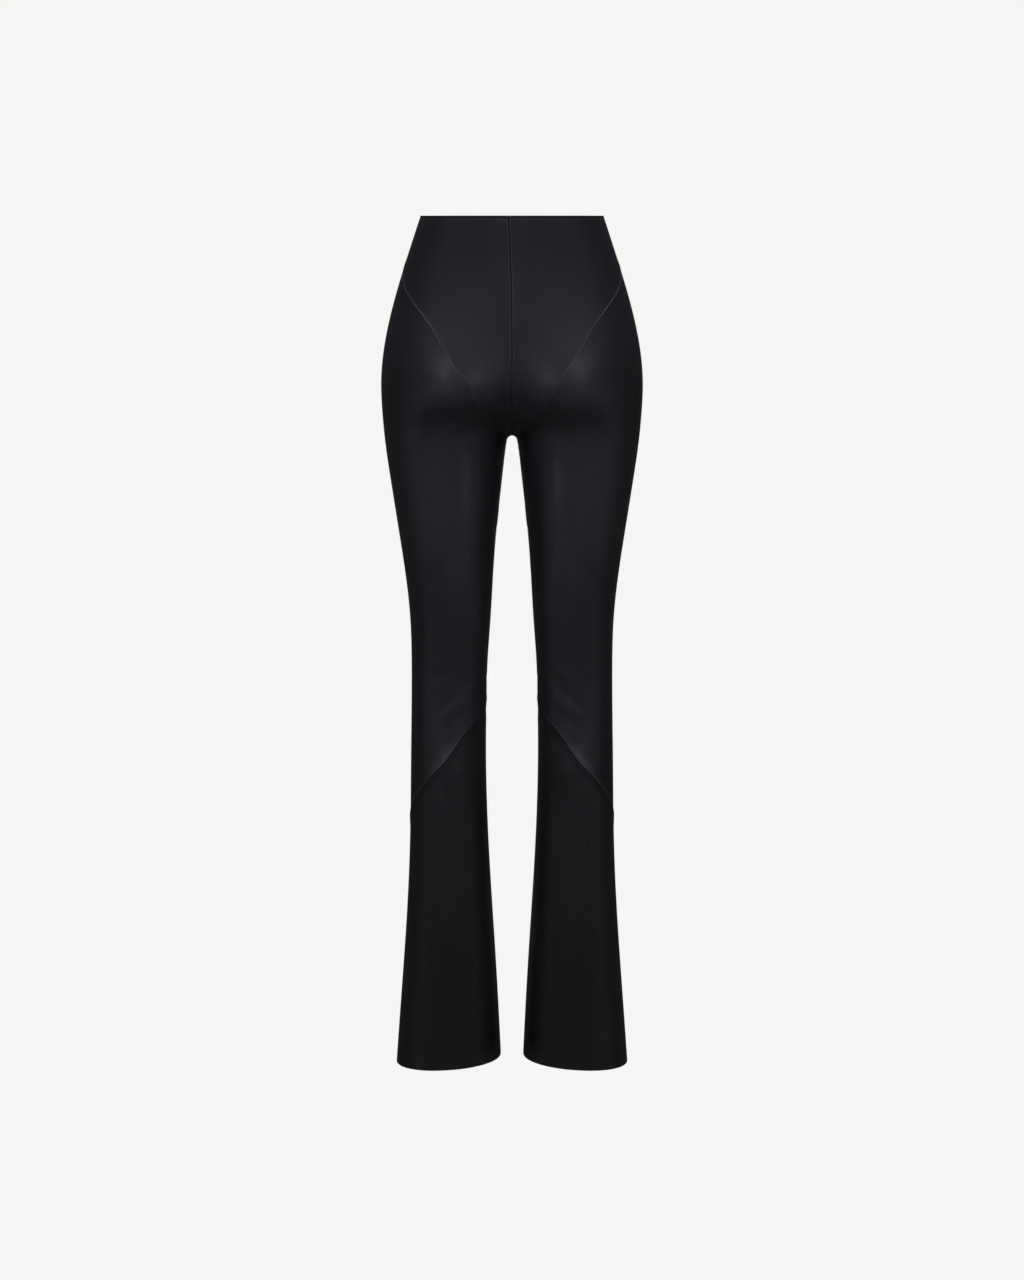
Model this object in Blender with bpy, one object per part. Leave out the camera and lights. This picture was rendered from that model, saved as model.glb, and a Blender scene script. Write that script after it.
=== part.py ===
"""Faux leather flared trousers, filled out as if worn but with no wearer.

The garment is eight cut panels, four for each leg, and a concealed zip inside the centre-back seam.
Metres, +Z up. The origin is the middle of the waist opening, so that the cloth hangs below it. The
back faces -Y and the front +Y. Left and right are as seen from behind: left is -X, right is +X.
The tables and named sizes are in millimetres; a "drop" is a depth below the waist.
"""

import math

import bpy
import numpy as np
from mathutils.geometry import delaunay_2d_cdt

MM = 0.001

# Driving dimensions.
CLOTH = 1.2
SEAM_GAP = 0.3
HEM_DROP = 1094.7
HEM_TILT = 0.065
SECTION_POWER = 2.1

# One leg's rounded form. side: from the middle of the body to the outside of the leg. axis: from the
# middle of the body to the leg's own axis. back and front: how far the cloth stands behind and before
# the waist's middle. Above the crotch the two legs' forms run into each other and make the hips.
FORM_COLUMNS = ("drop", "side", "axis", "back", "front")
FORM = (
    (0, 117.0, 20.0, -83.0, 82.0),
    (60, 136.6, 26.0, -95.0, 91.0),
    (120, 154.1, 38.0, -107.0, 98.0),
    (170, 164.4, 52.0, -115.0, 100.0),
    (210, 167.9, 63.0, -117.5, 98.5),
    (238, 167.4, 73.5, -115.0, 97.0),
    (262, 165.9, 82.5, -104.5, 95.5),
    (285, 163.8, 85.1, -98.5, 94.0),
    (340, 156.2, 84.7, -92.5, 92.0),
    (400, 146.8, 83.3, -87.0, 86.5),
    (460, 137.8, 81.1, -80.0, 80.0),
    (520, 131.7, 79.8, -69.5, 73.0),
    (580, 130.2, 81.1, -57.5, 66.0),
    (640, 130.5, 82.0, -54.0, 58.5),
    (700, 131.1, 82.4, -64.0, 50.5),
    (770, 131.7, 81.9, -74.5, 44.5),
    (840, 133.6, 81.2, -76.0, 45.5),
    (920, 137.9, 80.9, -78.5, 52.5),
    (1010, 144.4, 81.5, -85.0, 64.0),
    (1100, 151.0, 82.6, -92.0, 75.0),
)

# How wide the cloth bridges from one leg's form to the other's. It is widest under the seat and closes
# to a small round arch at the crotch.
WEB_COLUMNS = ("drop", "web")
WEB = ((0, 40), (120, 40), (205, 42), (245, 58), (266, 60), (282, 22), (290, 11), (310, 8), (1100, 8))

# Each side of the seat swells out in a soft round.
SEAT_SWELL = 13.0
SEAT_SIDE = 82.0
SEAT_DROP = 208.0
SEAT_RADIUS = 37.0
SEAT_FADE = 60.0

# The slanting seams of the back. turn: degrees round the leg's axis, 0 at the back, 90 at the outside
# and -90 at the inside. Their first and last rows lie on the side seam and the inseam.
SEAM_COLUMNS = ("drop", "turn")
V_SEAM = (
    (54, 94),
    (78, 77.5),
    (100, 60.3),
    (130, 37.5),
    (170, 15.6),
    (206, -1.3),
    (251, -22.6),
    (284, -39),
    (324, -58.5),
    (398, -95),
)
KNEE_SEAM = (
    (620, -97),
    (634, -66),
    (650, -39),
    (672, -17),
    (697, 2),
    (715, 19),
    (747, 51),
    (790, 97),
)

# The side seam and the inseam run just before the leg's widest line. The inseam starts at the crotch.
SEAM_FORWARD = 8.0
FORWARD_FADE = 60.0
CROTCH_LEVEL = 282.0

# The centre-back seam leans to the left at the waist.
LEAN = 4.5
LEAN_DROP = 170.0
LEAN_WIDTH = 60.0
LEAN_DEPTH = 40.0

# Mesh spacing: along the seams, round the leg (in degrees) and down it, and round the crotch's arch.
SEAM_STEP = 21.0
COLUMN_TURN = 15.0
ROW_STEP = 27.0
ARCH_DROPS = (1.2, 3.0, 6.0, 11.0, 20.0)
CLEAR_OF_SEAM = 10.0
CHART_SCALE = 1.4
CHART_SHEAR = 0.05
FINE = 240

# The concealed zip. Depths run inwards from the cloth's outer face, which is taken as straight from the
# seam to a line beside it.
ZIP_BESIDE = 22.0
TAPE_DROPS = (3.0, 215.0)
TAPE_REACH = (2.6, 14.0)
TAPE_DEPTHS = (2.1, 3.1)
COIL_DROPS = (14.0, 200.0)
COIL_REACH = 2.3
COIL_DEPTHS = (1.9, 3.7)
SLIDER_DEPTHS = (3.5, 6.5)
SLIDER_COLUMNS = ("drop", "reach")
SLIDER = ((4.0, 2.4), (6.5, 3.4), (11.0, 3.4), (13.5, 2.0))

FAUX_LEATHER = {"colour": (0.012, 0.012, 0.014), "roughness": 0.42, "metallic": 0.0}
ZIP_TAPE = {"colour": (0.008, 0.008, 0.009), "roughness": 0.9, "metallic": 0.0}
ZIP_COIL = {"colour": (0.012, 0.012, 0.013), "roughness": 0.45, "metallic": 0.0}
ZIP_METAL = {"colour": (0.015, 0.015, 0.016), "roughness": 0.35, "metallic": 1.0}


# ---------------------------------------------------------------- the form


class Curve:
    """A smooth line through a table's rows: a natural cubic spline."""

    def __init__(self, knots, values):
        self.knots = np.array(knots, float)
        self.values = np.array(values, float)
        gaps = np.diff(self.knots)
        slopes = np.diff(self.values) / gaps
        system = np.eye(len(knots))
        known = np.zeros(len(knots))
        for row in range(1, len(knots) - 1):
            system[row, row - 1 : row + 2] = gaps[row - 1], 2 * (gaps[row - 1] + gaps[row]), gaps[row]
            known[row] = 6 * (slopes[row] - slopes[row - 1])
        self.bends = np.linalg.solve(system, known)

    def __call__(self, spot):
        row = np.clip(np.searchsorted(self.knots, spot) - 1, 0, len(self.knots) - 2)
        gap = self.knots[row + 1] - self.knots[row]
        high = (spot - self.knots[row]) / gap
        low = 1 - high
        bend = (low**3 - low) * self.bends[row] + (high**3 - high) * self.bends[row + 1]
        return low * self.values[row] + high * self.values[row + 1] + bend * gap**2 / 6


def curves(columns, table):
    """A Curve for each column after the first, against the first."""
    knots = [row[0] for row in table]
    return [Curve(knots, [row[place] for row in table]) for place in range(1, len(columns))]


side_at, axis_at, back_at, front_at = curves(FORM_COLUMNS, FORM)
(web_at,) = curves(WEB_COLUMNS, WEB)
(v_turn_at,) = curves(SEAM_COLUMNS, V_SEAM)
(knee_turn_at,) = curves(SEAM_COLUMNS, KNEE_SEAM)


def centre_at(drop):
    return (back_at(drop) + front_at(drop)) / 2


def height(points):
    """How far points stand outside the garment's outer face. It is negative inside."""
    drop = -points[:, 2]
    axis = axis_at(drop)
    half_width = side_at(drop) - axis
    half_depth = (front_at(drop) - back_at(drop)) / 2
    along = np.abs(points[:, 1] - centre_at(drop)) / half_depth
    lobes = []
    for leg in (1, -1):
        across = np.abs(leg * points[:, 0] - axis) / half_width
        ratio = (across**SECTION_POWER + along**SECTION_POWER) ** (1 / SECTION_POWER)
        lobes.append((ratio - 1) * half_width)
    web = web_at(drop)
    shared = np.maximum(web - np.abs(lobes[0] - lobes[1]), 0)
    spread = (np.abs(points[:, 0]) - SEAT_SIDE) ** 2 + (drop - SEAT_DROP) ** 2
    behind = np.clip((centre_at(drop) - points[:, 1]) / SEAT_FADE, 0, 1)
    swell = SEAT_SWELL * np.exp(-spread / (2 * SEAT_RADIUS**2)) * behind
    return np.minimum(*lobes) - shared**2 / (4 * web) - swell


def normals(points):
    """The outward directions of the garment's face at points on it."""
    step = 0.05
    slopes = [height(points + shift) - height(points - shift) for shift in np.eye(3) * step]
    slopes = np.stack(slopes, axis=1)
    return slopes / np.linalg.norm(slopes, axis=1, keepdims=True)


def cast(starts, directions, reach=250.0):
    """Where rays that start inside the garment come out of its face."""
    near = np.zeros(len(starts))
    far = near + reach
    for _ in range(40):
        middle = (near + far) / 2
        inside = height(starts + directions * middle[:, None]) < 0
        near = np.where(inside, middle, near)
        far = np.where(inside, far, middle)
    return starts + directions * near[:, None]


def at_turn(drop, turn):
    """Points of the right leg, at degrees round its axis."""
    axis = axis_at(drop)
    angle = np.radians(turn)
    starts = np.stack([axis, centre_at(drop), -drop], axis=1)
    directions = np.stack([np.sin(angle), -np.cos(angle), np.zeros(len(drop))], axis=1)
    to_middle = axis / np.maximum(-directions[:, 0], 0.001)
    return cast(starts, directions, np.minimum(250.0, to_middle))


def turn_of(points, middle):
    """Degrees round the right leg's axis, within half a turn of the panel's middle."""
    drop = -points[:, 2]
    turn = np.degrees(np.arctan2(points[:, 0] - axis_at(drop), centre_at(drop) - points[:, 1]))
    return middle + (turn - middle + 180) % 360 - 180


# ---------------------------------------------------------------- seams and edges


def spaced(line, step):
    """The same line with its points evenly spaced, about a step apart."""
    lengths = np.concatenate([[0], np.cumsum(np.linalg.norm(np.diff(line, axis=0), axis=1))])
    count = max(1, round(lengths[-1] / step))
    spots = np.linspace(0, lengths[-1], count + 1)
    return np.stack([np.interp(spots, lengths, line[:, place]) for place in range(3)], axis=1)


def crotch_point():
    """Where the two inseams meet the centre seams: straight below the middle of the body."""
    start = np.array([[0.0, centre_at(CROTCH_LEVEL), -CROTCH_LEVEL / 2]])
    return cast(start, np.array([[0.0, 0.0, -1.0]]))[0]


def side_line(drop):
    """Points of the side seam."""
    starts = np.stack([axis_at(drop), centre_at(drop) + SEAM_FORWARD, -drop], axis=1)
    return cast(starts, np.tile([1.0, 0.0, 0.0], (len(drop), 1)))


def inner_line(drop):
    """Points of the inseam, below the crotch."""
    fade = np.clip((drop - CROTCH_LEVEL) / FORWARD_FADE, 0, 1)
    starts = np.stack([axis_at(drop), centre_at(drop) + SEAM_FORWARD * fade, -drop], axis=1)
    return cast(starts, np.tile([-1.0, 0.0, 0.0], (len(drop), 1)), starts[:, 0])


def centre_line(facing, crotch):
    """The centre-back (facing -1) or centre-front (facing 1) seam, from the waist to the crotch."""
    waist = cast(np.array([[0.0, centre_at(0.0), 0.0]]), np.array([[0.0, facing, 0.0]]))[0]
    pivot = np.array([0.0, crotch[1], -CROTCH_LEVEL / 2])
    start = math.atan2(-pivot[2], facing * (waist[1] - pivot[1]))
    angles = np.linspace(start, -math.pi / 2, FINE)
    directions = np.stack([np.zeros(FINE), facing * np.cos(angles), np.sin(angles)], axis=1)
    line = cast(np.tile(pivot, (FINE, 1)), directions)
    line[0] = waist
    line[-1] = crotch
    return line


def waist_line(centre, side):
    """The waist's edge from a centre seam to the side seam, round the back or the front."""
    middle = 0 if centre[1] < 0 else 180
    ends = turn_of(np.array([centre, side]), middle)
    line = at_turn(np.zeros(FINE), np.linspace(*ends, FINE))
    line[0] = centre
    line[-1] = side
    return line


def slanting_line(table, turn_at, first, last):
    """A seam that winds round the back of the leg between two points of its edge seams."""
    drop = np.linspace(table[0][0], table[-1][0], FINE)
    line = at_turn(drop, turn_at(drop))
    line[0] = first
    line[-1] = last
    return line


def hem_drop(points):
    """The hem's depth at points round the leg: it is a little lower on the outside."""
    return HEM_DROP + HEM_TILT * (points[:, 0] - axis_at(HEM_DROP))


def hem_end(edge_line):
    """The depth at which the side seam or the inseam reaches the hem."""
    drop = np.array([HEM_DROP])
    for _ in range(4):
        drop = hem_drop(edge_line(drop))
    return drop[0]


def hem_line(inner, side, middle):
    """The hem's edge from the inseam to the side seam, round the back or the front."""
    ends = turn_of(np.array([inner, side]), middle)
    turn = np.linspace(*ends, FINE)
    drop = np.full(FINE, HEM_DROP)
    for _ in range(4):
        drop = hem_drop(at_turn(drop, turn))
    line = at_turn(drop, turn)
    line[0] = inner
    line[-1] = side
    return line


def seam_lines():
    """The right leg's seams and edges, each an evenly spaced line that the panels on both sides share."""

    def side(first, last):
        return spaced(side_line(np.linspace(first, last, FINE)), SEAM_STEP)

    def inner(first, last):
        return spaced(inner_line(np.linspace(first, last, FINE)), SEAM_STEP)

    crotch = crotch_point()
    v_side, v_inner = V_SEAM[0][0], V_SEAM[-1][0]
    knee_inner, knee_side = KNEE_SEAM[0][0], KNEE_SEAM[-1][0]
    arch = inner_line(np.array(ARCH_DROPS) - crotch[2])
    lines = {
        "side_upper": side(0, v_side),
        "side_middle": side(v_side, knee_side),
        "side_lower": side(knee_side, hem_end(side_line)),
        "inner_upper": np.concatenate([[crotch], arch[:-1], inner(-arch[-1, 2], v_inner)]),
        "inner_middle": inner(v_inner, knee_inner),
        "inner_lower": inner(knee_inner, hem_end(inner_line)),
        "centre_back": spaced(centre_line(-1.0, crotch), SEAM_STEP),
        "centre_front": spaced(centre_line(1.0, crotch), SEAM_STEP),
    }
    v_ends = lines["side_middle"][0], lines["inner_middle"][0]
    knee_ends = lines["inner_lower"][0], lines["side_lower"][0]
    hem_ends = lines["inner_lower"][-1], lines["side_lower"][-1]
    waist_side = lines["side_upper"][0]
    lines["v_seam"] = spaced(slanting_line(V_SEAM, v_turn_at, *v_ends), SEAM_STEP)
    lines["knee_seam"] = spaced(slanting_line(KNEE_SEAM, knee_turn_at, *knee_ends), SEAM_STEP)
    lines["waist_back"] = spaced(waist_line(lines["centre_back"][0], waist_side), SEAM_STEP)
    lines["waist_front"] = spaced(waist_line(lines["centre_front"][0], waist_side), SEAM_STEP)
    lines["hem_back"] = spaced(hem_line(*hem_ends, 0), SEAM_STEP)
    lines["hem_front"] = spaced(hem_line(*hem_ends, 180), SEAM_STEP)
    return lines


FREE_EDGES = ("waist_back", "waist_front", "hem_back", "hem_front")

# Each panel's outline: the lines that bound it in order, with a minus for one that runs backwards, and
# the turn of its middle.
PANELS = {
    "back_yoke": (0, "centre_back", "inner_upper", "-v_seam", "-side_upper", "-waist_back"),
    "back_thigh": (0, "v_seam", "inner_middle", "knee_seam", "-side_middle"),
    "back_lower": (0, "-knee_seam", "inner_lower", "hem_back", "-side_lower"),
    "front": (
        180,
        "centre_front",
        "inner_upper",
        "inner_middle",
        "inner_lower",
        "hem_front",
        "-side_lower",
        "-side_middle",
        "-side_upper",
        "-waist_front",
    ),
}


# ---------------------------------------------------------------- panels


def outline_of(lines, names):
    """A closed outline and, for the edge that leaves each of its points, how far the cloth draws back."""
    points, insets = [], []
    for name in names:
        line = lines[name.lstrip("-")]
        if name.startswith("-"):
            line = line[::-1]
        inset = 0.0 if name.lstrip("-") in FREE_EDGES else SEAM_GAP / 2
        points.extend(line[:-1])
        insets.extend([inset] * (len(line) - 1))
    return np.array(points), np.array(insets)


def drawn_back(points, insets):
    """The outline moved in from its seams, within the face, by each edge's inset."""
    faces = normals(points)
    moved = points.copy()
    for spot in range(len(points)):
        pulls = []
        for start, end in ((spot - 1, spot), (spot, (spot + 1) % len(points))):
            edge = points[end] - points[start]
            pull = np.cross(faces[spot], edge)
            pulls.append(pull / np.linalg.norm(pull))
        before, after = insets[spot - 1], insets[spot]
        alike = np.dot(*pulls)
        if alike > 0.999:
            moved[spot] += (pulls[0] + pulls[1]) / 2 * (before + after) / 2
            continue
        shares = np.linalg.solve([[1, alike], [alike, 1]], [before, after])
        moved[spot] += shares[0] * pulls[0] + shares[1] * pulls[1]
    return moved


def chart(points, middle):
    """Places on the flat plane in which a panel is meshed: turn across it and drop down it."""
    drop = -points[:, 2]
    return np.stack([turn_of(points, middle) * CHART_SCALE + drop * CHART_SHEAR, -drop], axis=1)


def inside_of(outline, places):
    """Which places lie inside a flat outline, and clear of it."""
    within = np.zeros(len(places), bool)
    nearest = np.full(len(places), np.inf)
    for start, end in zip(outline, np.roll(outline, -1, axis=0)):
        edge = end - start
        offset = places - start
        crosses = (start[1] > places[:, 1]) != (end[1] > places[:, 1])
        meets = start[0] + edge[0] * offset[:, 1] / (edge[1] or 1.0)
        within ^= crosses & (places[:, 0] < meets)
        share = np.clip(offset @ edge / (edge @ edge), 0, 1)
        nearest = np.minimum(nearest, np.linalg.norm(offset - share[:, None] * edge, axis=1))
    return within & (nearest > CLEAR_OF_SEAM)


def lattice(outline, middle):
    """Rows and columns of points on a panel's face, clear of its outline."""
    turns = middle + np.arange(-6, 7) * COLUMN_TURN
    drops = np.arange(ROW_STEP / 2, HEM_DROP, ROW_STEP)
    turn, drop = [grid.ravel() for grid in np.meshgrid(turns, drops)]
    places = np.stack([turn * CHART_SCALE + drop * CHART_SHEAR, -drop], axis=1)
    kept = inside_of(chart(outline, middle), places)
    return at_turn(drop[kept], turn[kept])


def panel(lines, middle, *names):
    """One cut panel of the right leg: its points and the triangles of its two faces and its edge."""
    outline, insets = outline_of(lines, names)
    flat = chart(outline, middle)
    ahead = np.roll(flat, -1, axis=0)
    if np.sum(flat[:, 0] * ahead[:, 1] - ahead[:, 0] * flat[:, 1]) < 0:
        outline = outline[::-1]
        insets = np.roll(insets[::-1], -1)
    points = np.concatenate([outline, lattice(outline, middle)])
    count = len(outline)
    places = [tuple(place) for place in chart(points, middle)]
    result = delaunay_2d_cdt(places, [], [list(range(count))], 1, 1e-6)
    sources = [origin[0] for origin in result[3]]
    outer = [[sources[corner] for corner in face] for face in result[2]]
    directions = normals(points)
    points[:count] = drawn_back(outline, insets)
    below = len(points)
    triangles = outer + [[corner + below for corner in reversed(face)] for face in outer]
    for start in range(count):
        end = (start + 1) % count
        if outline[start, 2] > outline[end, 2]:
            triangles.append([end, start, start + below])
            triangles.append([end, start + below, end + below])
        else:
            triangles.append([end, start, end + below])
            triangles.append([start, start + below, end + below])
    return np.concatenate([points, points - directions * CLOTH]), triangles


# ---------------------------------------------------------------- the concealed zip


def strip(seam, drops, lefts, rights, depths):
    """A narrow strip down the inside of the centre back, from the x of its two edges at each drop."""
    starts = seam * [1, 0, 1] + [ZIP_BESIDE, 0, 0]
    starts[:, 1] = centre_at(-seam[:, 2])
    beside = cast(starts, np.tile([0.0, -1.0, 0.0], (len(seam), 1)))
    on_seam = np.interp(drops, -seam[:, 2], seam[:, 1])
    off_seam = np.interp(drops, -seam[:, 2], beside[:, 1])
    middles = np.stack([np.zeros(len(drops)), on_seam, -drops], axis=1)
    inwards = -normals(middles)
    rings = []
    for row, edges in enumerate(zip(lefts, rights)):
        share = np.abs(edges) / ZIP_BESIDE
        face = np.tile(middles[row], (2, 1))
        face[:, 0] = edges
        face[:, 1] += (off_seam[row] - on_seam[row]) * share
        rings.append(face + inwards[row] * depths[0])
        rings.append((face + inwards[row] * depths[1])[::-1])
    points = np.concatenate(rings)
    last = len(points) - 4
    faces = [[0, 1, 2, 3], [last + 3, last + 2, last + 1, last]]
    for ring in range(0, last, 4):
        for corner in range(4):
            ahead = (corner + 1) % 4
            faces.append([ring + corner, ring + 4 + corner, ring + 4 + ahead, ring + ahead])
    return points, faces


def zip_pieces(seam):
    """The tapes, the closed coil and the slider, by name, on the centre-back seam."""

    def rows(first, last):
        bends = -seam[:, 2]
        return np.array([first, *bends[(bends > first) & (bends < last)], last])

    tape = rows(*TAPE_DROPS)
    coil = rows(*COIL_DROPS)
    near, far = [np.full(len(tape), reach) for reach in TAPE_REACH]
    half = np.full(len(coil), COIL_REACH)
    slider, reach = np.array(SLIDER).T
    return {
        "zip_tape_left": (*strip(seam, tape, -far, -near, TAPE_DEPTHS), ZIP_TAPE),
        "zip_tape_right": (*strip(seam, tape, near, far, TAPE_DEPTHS), ZIP_TAPE),
        "zip_coil": (*strip(seam, coil, -half, half, COIL_DEPTHS), ZIP_COIL),
        "zip_slider": (*strip(seam, slider, -reach, reach, SLIDER_DEPTHS), ZIP_METAL),
    }


# ---------------------------------------------------------------- the model


def leaned(points):
    """Points moved sideways by the lean of the centre back, which fades out down and round the body."""
    down = np.clip(1 + points[:, 2] / LEAN_DROP, 0, 1) ** 2
    round_body = np.cos(np.clip(np.abs(points[:, 0]) / LEAN_WIDTH, 0, 1) * math.pi / 2) ** 2
    behind = np.clip(-points[:, 1] / LEAN_DEPTH, 0, 1)
    return points - np.outer(LEAN * down * round_body * behind, [1, 0, 0])


def material(name, finish):
    made = bpy.data.materials.new(name)
    made.use_nodes = True
    shader = made.node_tree.nodes["Principled BSDF"]
    shader.inputs["Base Color"].default_value = (*finish["colour"], 1.0)
    shader.inputs["Roughness"].default_value = finish["roughness"]
    shader.inputs["Metallic"].default_value = finish["metallic"]
    return made


def add(name, points, faces, finish):
    """A smooth-shaded object from points in millimetres."""
    mesh = bpy.data.meshes.new(name)
    mesh.from_pydata((leaned(points) * MM).tolist(), [], faces)
    mesh.materials.append(material(name, finish))
    mesh.shade_smooth()
    mesh.set_sharp_from_angle(angle=math.radians(50))
    made = bpy.data.objects.new(name, mesh)
    bpy.context.scene.collection.objects.link(made)


def main():
    for old in list(bpy.context.scene.objects):
        bpy.data.objects.remove(old)
    lines = seam_lines()
    for name, outline in PANELS.items():
        points, faces = panel(lines, *outline)
        add(f"{name}_right", points, faces, FAUX_LEATHER)
        add(f"{name}_left", points * [-1, 1, 1], [face[::-1] for face in faces], FAUX_LEATHER)
    for name, (points, faces, finish) in zip_pieces(lines["centre_back"]).items():
        add(name, points, faces, finish)


main()
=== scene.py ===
"""The look of the faux leather flared trousers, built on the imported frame.

+Z is up, the back faces -Y and the front +Y, and the origin is the middle of the waist opening. Tables
and named sizes are in millimetres; lights, camera, floor and flat cuts are in metres. A "drop" is a depth
below the waist. A "turn" is in degrees round a leg's axis: 0 at the back, 90 at the outside, 180 at the
front. The right leg is built and then mirrored.
"""

import math
from collections import namedtuple

import bpy
import numpy as np
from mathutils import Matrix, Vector
from mathutils.geometry import delaunay_2d_cdt
from mathutils.kdtree import KDTree

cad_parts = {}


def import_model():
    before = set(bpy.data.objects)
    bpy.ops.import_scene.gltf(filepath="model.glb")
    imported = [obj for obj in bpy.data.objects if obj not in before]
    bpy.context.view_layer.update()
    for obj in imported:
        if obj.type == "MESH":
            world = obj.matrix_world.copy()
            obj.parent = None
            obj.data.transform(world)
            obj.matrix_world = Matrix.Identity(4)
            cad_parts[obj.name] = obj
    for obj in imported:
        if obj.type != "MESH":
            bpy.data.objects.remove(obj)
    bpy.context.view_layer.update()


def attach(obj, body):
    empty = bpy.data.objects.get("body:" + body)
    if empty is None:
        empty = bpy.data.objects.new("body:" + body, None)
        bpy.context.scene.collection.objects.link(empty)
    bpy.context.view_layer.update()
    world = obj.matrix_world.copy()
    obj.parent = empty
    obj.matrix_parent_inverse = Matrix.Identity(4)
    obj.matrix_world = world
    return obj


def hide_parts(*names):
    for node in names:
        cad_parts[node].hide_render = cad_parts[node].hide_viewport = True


def table(columns, *rows):
    """A table whose columns have names."""
    row = namedtuple("Row", columns)
    return [row(*values) for values in rows]


MM = 0.001

HEM_DROP = 1094.7
HEM_TILT = 0.065
SECTION_POWER = 2.1

# One leg's rounded form. side and axis are measured from the middle of the body, back and front from the
# waist's middle. Above the crotch the two legs' forms run into each other and make the hips.
FORM = table(
    "drop side axis back front",
    (0, 117, 20, -83, 82),
    (60, 136.6, 26, -95, 91),
    (120, 154.1, 38, -107, 98),
    (170, 164.4, 52, -115, 100),
    (210, 167.9, 63, -117.5, 98.5),
    (238, 167.4, 73.5, -115, 97),
    (262, 165.9, 82.5, -104.5, 95.5),
    (285, 163.8, 85.1, -98.5, 94),
    (340, 156.2, 84.7, -92.5, 92),
    (400, 146.8, 83.3, -87, 86.5),
    (460, 137.8, 81.1, -80, 80),
    (520, 131.7, 79.8, -69.5, 73),
    (580, 130.2, 81.1, -57.5, 66),
    (640, 130.5, 82, -54, 58.5),
    (700, 131.1, 82.4, -64, 50.5),
    (770, 131.7, 81.9, -74.5, 44.5),
    (840, 133.6, 81.2, -76, 45.5),
    (920, 137.9, 80.9, -78.5, 52.5),
    (1010, 144.4, 81.5, -85, 64),
    (1100, 151, 82.6, -92, 75),
)

# How wide the cloth bridges from one leg's form to the other's.
WEB = table(
    "drop web",
    *((0, 40), (120, 40), (205, 42), (245, 58), (266, 60), (282, 22), (290, 11), (310, 8), (1100, 8)),
)

# Each side of the seat swells out in a soft round.
SEAT_SWELL = 13
SEAT_SIDE = 82
SEAT_DROP = 208
SEAT_RADIUS = 37
SEAT_FADE = 60

# The slanting seams of the back.
V_SEAM = table(
    "drop turn",
    *((54, 94), (78, 77.5), (100, 60.3), (130, 37.5), (170, 15.6)),
    *((206, -1.3), (251, -22.6), (284, -39), (324, -58.5), (398, -95)),
)
KNEE_SEAM = table(
    "drop turn",
    *((620, -97), (634, -66), (650, -39), (672, -17), (697, 2), (715, 19), (747, 51), (790, 97)),
)

# The side seam and the inseam run just before the leg's widest line. The inseam starts at the crotch.
SEAM_FORWARD = 8
FORWARD_FADE = 60
CROTCH_LEVEL = 282

# The centre-back seam leans to the left at the waist.
LEAN = 4.5
LEAN_DROP = 170
LEAN_WIDTH = 60
LEAN_DEPTH = 40

# Each panel of the right leg: the turn of its middle, the width, length and area of its flat cut, and the
# lines that bound it in order, with a minus for one that runs backwards.
INSEAM = "inner_upper inner_middle inner_lower"
SIDE_SEAM = "-side_lower -side_middle -side_upper"
PANELS = table(
    "name middle width length area outline",
    ("back_yoke", 0, 0.20, 0.43, 0.047, "centre_back inner_upper -v_seam -side_upper -waist_back"),
    ("back_thigh", 0, 0.30, 0.76, 0.139, "v_seam inner_middle knee_seam -side_middle"),
    ("back_lower", 0, 0.28, 0.50, 0.100, "-knee_seam inner_lower hem_back -side_lower"),
    ("front", 180, 0.29, 1.14, 0.242, f"centre_front {INSEAM} hem_front {SIDE_SEAM} -waist_front"),
)

# Mesh spacing: in the open, along seams, and clear of edges and of the rows of points beside them.
STEP = 3.2
SEAM_STEP = 2.6
TURN_LENGTH = 1.25
CLEAR_OF_EDGE = 6.2
CLEAR_OF_ROW = 1.4
CLEAR_SHARE = 0.88
WIDEST_TURN = 108
PAST_HEM = 4
INSIDE_ONLY = 1
MERGE_GAP = 1e-7

# The arch under the crotch has finer rows.
ARCH_DROPS = (262, 296)
ARCH_STEP = 0.7
ARCH_TURNS = ((-100, -40), (41, 101))
ARCH_TURN_STEP = 2
ARCH_SIDE = 45
ARCH_GAP = 2.2

# The flat plane in which a panel is meshed, and how finely lines are worked out.
CHART_SCALE = 1.4
CHART_SHEAR = 0.05
FINE = 900
EDGE_SAMPLE = 1
RAY_REACH = 250
RAY_HALVINGS = 32
ROUNDS = 4
SLOPE_STEP = 0.05
NEARLY_NONE = 0.001
STRAIGHT = 0.999
SHARPEST = -0.98

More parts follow.
